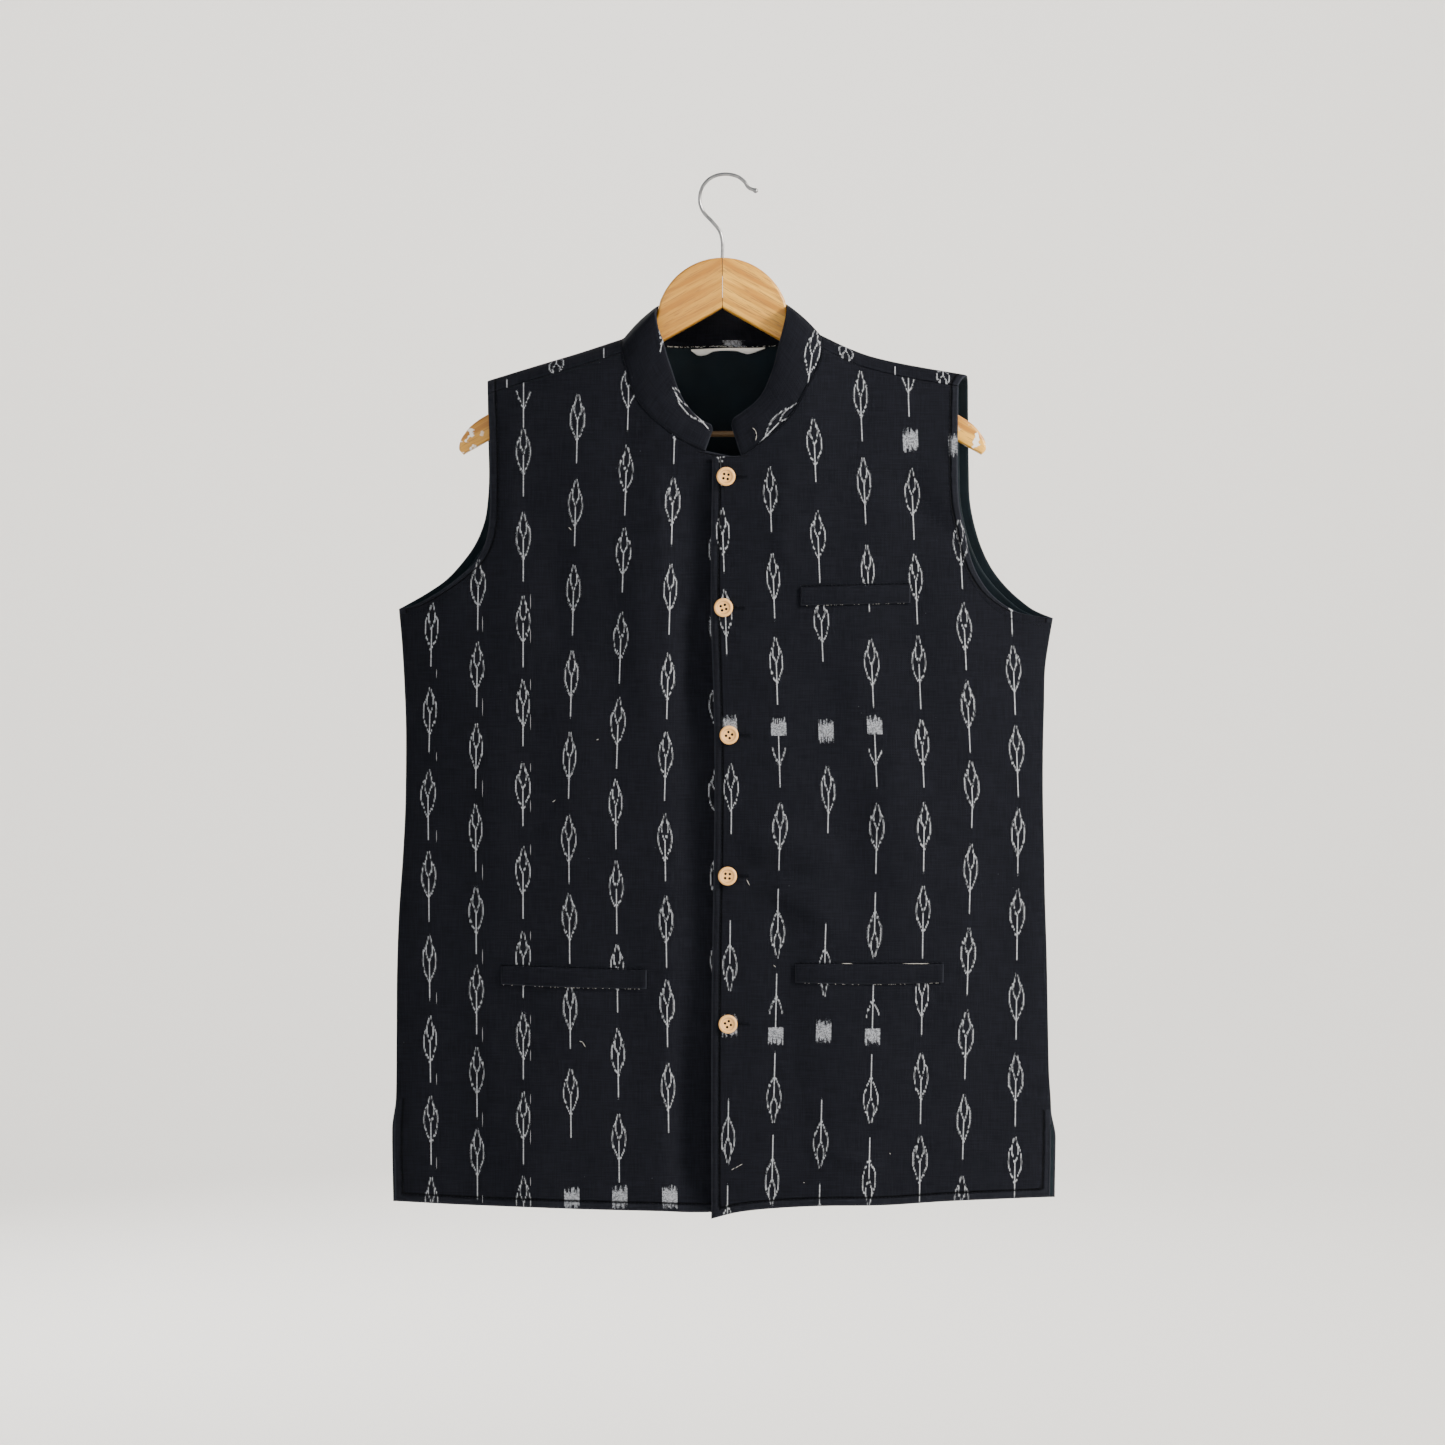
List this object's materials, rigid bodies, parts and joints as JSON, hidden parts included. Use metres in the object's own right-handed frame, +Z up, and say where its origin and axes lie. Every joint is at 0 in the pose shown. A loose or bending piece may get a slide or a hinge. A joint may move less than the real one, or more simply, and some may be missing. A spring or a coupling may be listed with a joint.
{
  "type": "nehru jacket on a wooden clothes hanger",
  "caption": "Sleeveless black ikat cotton nehru jacket with a stand collar, buttoned, hanging open underneath on a wooden clothes hanger with a wire hook.",
  "frame": {"origin": "underside of the top of the hook's arc, where it hangs on a rail or peg", "axes": "+Z up along the hanging jacket, -Y towards the wearer's front, +X towards the wearer's left arm"},
  "size_m": [0.5584, 0.098, 0.873],
  "materials": {
    "black_cotton": "handwoven cotton, near black, with pale grey ikat leaves",
    "dark_lining": "smooth dark lining cloth",
    "label_cotton": "bare off-white woven band",
    "button_wood": "turned light wood, satin",
    "hanger_wood": "varnished light wood",
    "hook_steel": "drawn steel wire"
  },
  "bodies": {
    "root": {"front_right": "black_cotton", "front_left": "black_cotton", "back": "black_cotton", "collar": "black_cotton", "welt_chest": "black_cotton", "welt_left": "black_cotton", "welt_right": "black_cotton", "lining_back": "dark_lining", "neck_label": "label_cotton", "button_1": "button_wood", "button_2": "button_wood", "button_3": "button_wood", "button_4": "button_wood", "button_5": "button_wood", "hanger_arm_left": "hanger_wood", "hanger_arm_right": "hanger_wood", "hanger_bar": "hanger_wood", "hanger_hook": "hook_steel"}
  },
  "joints": []
}
